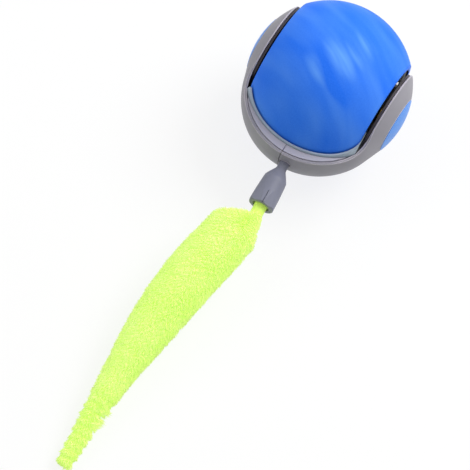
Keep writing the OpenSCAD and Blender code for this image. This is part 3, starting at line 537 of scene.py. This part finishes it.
# Size of the plush's drift of hue and of its grain, and how much of a duller tone is in the grain
DRIFT_SCALE = 70.0
PLUSH_GRAIN = 900.0
PLUSH_DUSK = srgb(210, 243, 124)
DUSK_SHARE = 0.25
# Pieces of pile: name, where they are dense, seed
PILES = (("tail_shoulder_pile", "shoulder_pile", 11),
         ("tail_thick_pile", "thick_pile", 17),
         ("tail_tuft_rows", "tuft_pile", 23))


def along(table, t):
    """Reads a table of distances and values, straight between its rows."""
    for (t0, v0), (t1, v1) in zip(table, table[1:]):
        if t <= t1:
            return v0 + (v1 - v0) * max(0.0, t - t0) / (t1 - t0)
    return table[-1][1]


def bow(t):
    """How far the tail's line has bowed to the left."""
    t = max(0.0, t)
    return -TAIL_BOW * (1 - math.exp(-t * t / ((t + TAIL_BOW_EASE) * TAIL_BOW_LEN)))


def tail_place(t):
    return TAIL @ (Vector((bow(t), -PLUG_END - t, 0)) * MM)


def step_up(t, low, high):
    """0 below a range and 1 above it, with a smooth rise between."""
    s = min(1.0, max(0.0, (t - low) / (high - low)))
    return s * s * (3 - 2 * s)


def pile_depth(t):
    """How far the pile stands over the backing."""
    return min(PILE_DEPTH, PILE_SHARE * along(GIRTHS, t))


def between_rows(t):
    """1 midway between two tuft rows, 0 on a row and above the first row."""
    wave = 0.5 - 0.5 * math.cos(2 * math.pi * (t - TUFT_FIRST) / TUFT_PITCH)
    return step_up(t, TUFT_FIRST - TUFT_FADE, TUFT_FIRST) * wave


def loose_strands(t):
    """1 where the rows end in loose strands on the right."""
    started, stopped = (step_up(t, TUFT_FIRST + low, TUFT_FIRST + high)
                        for low, high in (STRANDS_START, STRANDS_STOP))
    return started * (1 - stopped)


def backing_rings():
    """Distances of the backing's rings along the tail."""
    neck = [NECK_STEP * k - NECK_LEN for k in range(int(NECK_LEN / NECK_STEP) + 1)]
    body = [BODY_FROM + BODY_STEP * k for k in range(BODY_RINGS)]
    rows = [ROWS_FROM + ROWS_STEP * k for k in range(ROWS_RINGS)]
    return neck + SHOULDER_RINGS + body + rows + [LAST_RING]


def finished_piece(helper, name):
    """A new piece with the final mesh of a helper object, which is removed."""
    bpy.context.view_layer.update()
    mesh = bpy.data.meshes.new_from_object(helper.evaluated_get(bpy.context.evaluated_depsgraph_get()))
    bpy.data.objects.remove(helper)
    mesh.name = name
    o = bpy.data.objects.new(name, mesh)
    scene.collection.objects.link(o)
    return o


def tail_backing():
    """The knitted tube under the pile: a line with a girth at each ring, pulled out to its two sides."""
    rings = backing_rings()
    line = bpy.data.curves.new("tail_backing_line", "CURVE")
    line.dimensions = "3D"
    line.bevel_depth = 1.0
    line.bevel_resolution = 6
    line.use_fill_caps = True
    spline = line.splines.new("POLY")
    spline.points.add(len(rings) - 1)
    for p, t in zip(spline.points, rings):
        p.co = (*tail_place(t), 1.0)
        p.radius = (along(GIRTHS, t) / 2 - pile_depth(t) - TUFT_GROOVE * between_rows(t)) * MM
    helper = bpy.data.objects.new("tail_backing_line", line)
    scene.collection.objects.link(helper)
    o = finished_piece(helper, "tail_backing")
    back = TAIL.inverted()
    for v in o.data.vertices:
        p = back @ v.co / MM
        t = -p.y - PLUG_END
        side = p.x - bow(t)
        if side < 0:
            reach = along(LEFT_SIDE, t)
        else:
            reach = along(RIGHT_SIDE, t) - STRAND_LEN * loose_strands(t)
        p.x = bow(t) + side * reach / (along(GIRTHS, t) / 2)
        v.co = TAIL @ (p * MM)
    o.data.update()
    return o


def comb_backing(o):
    """Writes on the backing which way its pile lies, how long it is, how ruffled and how dense."""
    mesh = o.data
    back = TAIL.inverted()
    numbers = ("length", "ruffle", "shoulder_pile", "thick_pile", "tuft_pile")
    mesh.attributes.new("comb", "FLOAT_VECTOR", "POINT")
    for name in numbers:
        mesh.attributes.new(name, "FLOAT", "POINT")
    comb = mesh.attributes["comb"]
    length, ruffle, *dense = (mesh.attributes[name] for name in numbers)
    for k, v in enumerate(mesh.vertices):
        p = back @ v.co / MM
        t = -p.y - PLUG_END
        way = (tail_place(t + 1) - tail_place(t - 1)).normalized()
        lie = way - v.normal * v.normal.dot(way)
        rows = step_up(t, TUFT_FIRST - ROWS_BLEND, TUFT_FIRST)
        gap = between_rows(t)
        right = (p.x - bow(t)) / max(1.0, along(RIGHT_SIDE, t))
        strand = loose_strands(t) * step_up(right, *STRAND_SIDE)
        tip = step_up(t, *TIP_FROM_TO) * step_up(right, *TIP_SIDE)
        comb.data[k].vector = lie * (LIE - ROWS_STAND * rows - STRANDS_STAND * strand)
        length.data[k].value = (pile_depth(t) * FIBRE_OVER * (1 - GAP_SHORTER * gap)
                                + STRAND_LEN * STRAND_OVER * strand * (1 - gap) ** 3
                                + TIP_EXTRA * tip) * MM
        ruffle.data[k].value = 1 - STRAND_CALM * max(strand, tip)
        first, second = (step_up(t, split - SPLIT_BLEND, split + SPLIT_BLEND) for split in PILE_SPLITS)
        sparser = (1 - GAP_SPARSER * gap) * (1 + strand * (1 - 2 * gap))
        dense[0].data[k].value = PILE_DENSITY * (1 - first)
        dense[1].data[k].value = PILE_DENSITY * first * (1 - second)
        dense[2].data[k].value = TUFT_DENSITY * second * sparser


def fibre():
    """One tapered three-sided fibre, a unit long, its tip curving to +X."""
    bm = bmesh.new()
    bmesh.ops.create_circle(bm, segments=3, radius=FIBRE_RADIUS)
    rim = list(bm.edges)
    for rise, drift, share in FIBRE_STEPS:
        grown = bmesh.ops.extrude_edge_only(bm, edges=rim)["geom"]
        verts = [e for e in grown if isinstance(e, bmesh.types.BMVert)]
        rim = [e for e in grown if isinstance(e, bmesh.types.BMEdge)]
        middle = sum((v.co for v in verts), Vector()) / len(verts)
        bmesh.ops.scale(bm, vec=(share, share, 1), verts=verts, space=Matrix.Translation(-middle))
        bmesh.ops.translate(bm, vec=(drift, 0, rise), verts=verts)
    bmesh.ops.holes_fill(bm, edges=bm.edges, sides=3)
    bmesh.ops.recalc_face_normals(bm, faces=bm.faces)
    mesh = bpy.data.meshes.new("tail_fibre")
    bm.to_mesh(mesh)
    bm.free()
    o = bpy.data.objects.new("tail_fibre", mesh)
    scene.collection.objects.link(o)
    return o


def pile_tree(name, strand, density, seed):
    """Geometry nodes that plant the fibre over a backing, combed and clumped."""
    t = bpy.data.node_groups.new(name, "GeometryNodeTree")
    t.interface.new_socket("Geometry", in_out="INPUT", socket_type="NodeSocketGeometry")
    t.interface.new_socket("Geometry", in_out="OUTPUT", socket_type="NodeSocketGeometry")
    backing = t.nodes.new("NodeGroupInput").outputs[0]

    def named(label, kind):
        n = node(t, "GeometryNodeInputNamedAttribute", {"Name": label}, data_type=kind)
        return n.outputs["Attribute"]

    def vector(op, a, b):
        return node(t, "ShaderNodeVectorMath", {0: a, 1: b}, operation=op).outputs["Vector"]

    def chance(low, high, extra):
        n = node(t, "FunctionNodeRandomValue", {2: low, 3: high, "Seed": seed + extra}, data_type="FLOAT")
        return n.outputs[1]

    planted = node(t, "GeometryNodeDistributePointsOnFaces",
                   {"Mesh": backing, "Density": named(density, "FLOAT"), "Seed": seed})
    at = node(t, "GeometryNodeInputPosition").outputs[0]
    comb = named("comb", "FLOAT_VECTOR")
    clump = node(t, "ShaderNodeTexNoise", {"Vector": at, "Scale": CLUMP_SCALE, "Detail": 1.0})
    stray = node(t, "FunctionNodeRandomValue", {0: (-STRAY,) * 3, 1: (STRAY,) * 3, "Seed": seed + 1},
                 data_type="FLOAT_VECTOR")
    sway = vector("SUBTRACT", clump.outputs["Color"], (NOISE_MIDDLE,) * 3)
    ruffle = vector("ADD", sway, stray.outputs[0])
    ruffle = node(t, "ShaderNodeVectorMath", {0: ruffle, "Scale": named("ruffle", "FLOAT")},
                  operation="SCALE")
    lie = vector("ADD", vector("ADD", planted.outputs["Normal"], comb), ruffle.outputs["Vector"])
    stand = node(t, "FunctionNodeAlignRotationToVector", {"Vector": lie}, axis="Z")
    turn = node(t, "FunctionNodeAlignRotationToVector", {"Rotation": stand.outputs[0], "Vector": comb},
                axis="X", pivot_axis="Z")
    length = math_node(t, "MULTIPLY", named("length", "FLOAT"), chance(*LENGTH_CHANCE, 2))
    width = math_node(t, "MULTIPLY", chance(*WIDTH_CHANCE, 3), FIBRE_WIDTH)
    size = node(t, "ShaderNodeCombineXYZ", {0: width, 1: width, 2: length}).outputs[0]
    body = node(t, "GeometryNodeObjectInfo", {"Object": strand}).outputs["Geometry"]
    grown = node(t, "GeometryNodeInstanceOnPoints", {"Points": planted.outputs["Points"], "Instance": body,
                                                     "Rotation": turn.outputs[0], "Scale": size})
    real = node(t, "GeometryNodeRealizeInstances", {0: grown.outputs[0]}).outputs[0]
    smooth = node(t, "GeometryNodeSetShadeSmooth", {0: real}).outputs[0]
    t.links.new(smooth, t.nodes.new("NodeGroupOutput").inputs[0])
    return t


def grow_pile(name, backing, strand, density, seed):
    helper = bpy.data.objects.new(name + "_plan", backing.data)
    scene.collection.objects.link(helper)
    helper.modifiers.new("pile", "NODES").node_group = pile_tree(name + "_plan", strand, density, seed)
    return finished_piece(helper, name)


def plush(name, pale, deep, glow):
    """Fluorescent plush: hue drifts between lime and lemon, with a painted glow in its own tone."""
    m, t, b = new_material(name)
    at = object_coords(t)
    drift = noise(t, at, DRIFT_SCALE, 3.0)
    strand = noise(t, at, PLUSH_GRAIN, 2.0)
    hue = mix_colour(t, ramp(t, drift, *CRISP_SPAN), pale, deep)
    tone = mix_colour(t, ramp(t, strand, *NOISE_SPAN, 0.0, DUSK_SHARE), hue, PLUSH_DUSK)
    t.links.new(tone, b.inputs["Base Color"])
    # Painted glow: the tone is also emitted, which flattens the plush's shading
    t.links.new(tone, b.inputs["Emission Color"])
    b.inputs["Emission Strength"].default_value = glow
    b.inputs["Roughness"].default_value = 0.9
    b.inputs["Specular IOR Level"].default_value = 0.15
    b.inputs["Sheen Weight"].default_value = 0.1
    b.inputs["Sheen Roughness"].default_value = 0.5
    bump = node(t, "ShaderNodeBump", {"Height": strand, "Distance": 0.1 * MM, "Strength": 0.4})
    t.links.new(bump.outputs[0], b.inputs["Normal"])
    return m


def make_tail():
    backing = tail_backing()
    comb_backing(backing)
    strand = fibre()
    piles = [grow_pile(name, backing, strand, density, seed) for name, density, seed in PILES]
    bpy.data.objects.remove(strand)
    # Both plush tones carry a painted glow
    under = plush("plush_backing", srgb(218, 243, 134), srgb(212, 239, 124), 0.3)
    over = plush("plush_lime", srgb(228, 250, 154), srgb(222, 247, 141), 0.31)
    for piece in (backing, *piles):
        piece.data.materials.clear()
        piece.data.materials.append(under if piece is backing else over)
        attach(piece, "tail")
    for p in backing.data.polygons:
        p.use_smooth = True
    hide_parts("tail_plush")


make_tail()


# Studio: a white floor and air, brightest from behind and above, and two soft lamps

WHITE = (1, 1, 1, 1)
AIR_FROM = Vector((0.1, 0.75, 0.65)).normalized()
AIR_FACING = (-0.7, 0.9)
AIR_STRENGTH = (0.15, 0.70)
FLOOR_HALF = 4.0
FLOOR_GREY = (0.86, 0.86, 0.86, 1)
FLOOR_GLOW = 0.82
LAMP_AIM = Vector((-0.005, -0.09, 0.03))
# Name, place, size in metres and watts
LAMPS = (("key_softbox", (0.4, 0.56, 1.0), 0.7, 10.8),
         ("fill_softbox", (-0.8, -0.5, 0.9), 0.9, 3.6))


def white_seen(t):
    """1 for the rays that look at the background, straight, mirrored or through glass."""
    path = node(t, "ShaderNodeLightPath").outputs
    through = math_node(t, "MAXIMUM", path["Is Transmission Ray"], path["Is Glossy Ray"])
    return math_node(t, "MAXIMUM", path["Is Camera Ray"], through)


def make_air():
    world = bpy.data.worlds.new("studio_air")
    scene.world = world
    world.use_nodes = True
    t = world.node_tree
    way = node(t, "ShaderNodeTexCoord").outputs["Generated"]
    light = ramp(t, dot(t, way, AIR_FROM), *AIR_FACING, *AIR_STRENGTH)
    back = t.nodes["Background"]
    back.inputs["Color"].default_value = WHITE
    t.links.new(math_node(t, "MAXIMUM", light, white_seen(t)), back.inputs["Strength"])


def make_floor():
    bm = bmesh.new()
    bmesh.ops.create_grid(bm, x_segments=1, y_segments=1, size=FLOOR_HALF)
    mesh = bpy.data.meshes.new("studio_floor")
    bm.to_mesh(mesh)
    bm.free()
    floor = bpy.data.objects.new("studio_floor", mesh)
    scene.collection.objects.link(floor)
    m, t, b = new_material("floor_white")
    b.inputs["Base Color"].default_value = FLOOR_GREY
    b.inputs["Roughness"].default_value = 0.9
    glow = node(t, "ShaderNodeEmission", {"Color": WHITE})
    share = math_node(t, "MULTIPLY", white_seen(t), FLOOR_GLOW)
    mix = node(t, "ShaderNodeMixShader", {0: share, 1: b.outputs[0], 2: glow.outputs[0]})
    t.links.new(mix.outputs[0], t.nodes["Material Output"].inputs["Surface"])
    mesh.materials.append(m)


def make_lamp(name, place, size, watts):
    data = bpy.data.lights.new(name, "AREA")
    data.size = size
    data.energy = watts
    o = bpy.data.objects.new(name, data)
    scene.collection.objects.link(o)
    o.location = place
    o.rotation_euler = (LAMP_AIM - Vector(place)).to_track_quat("-Z", "Y").to_euler()


make_air()
make_floor()
for lamp in LAMPS:
    make_lamp(*lamp)

scene.view_settings.view_transform = "Standard"
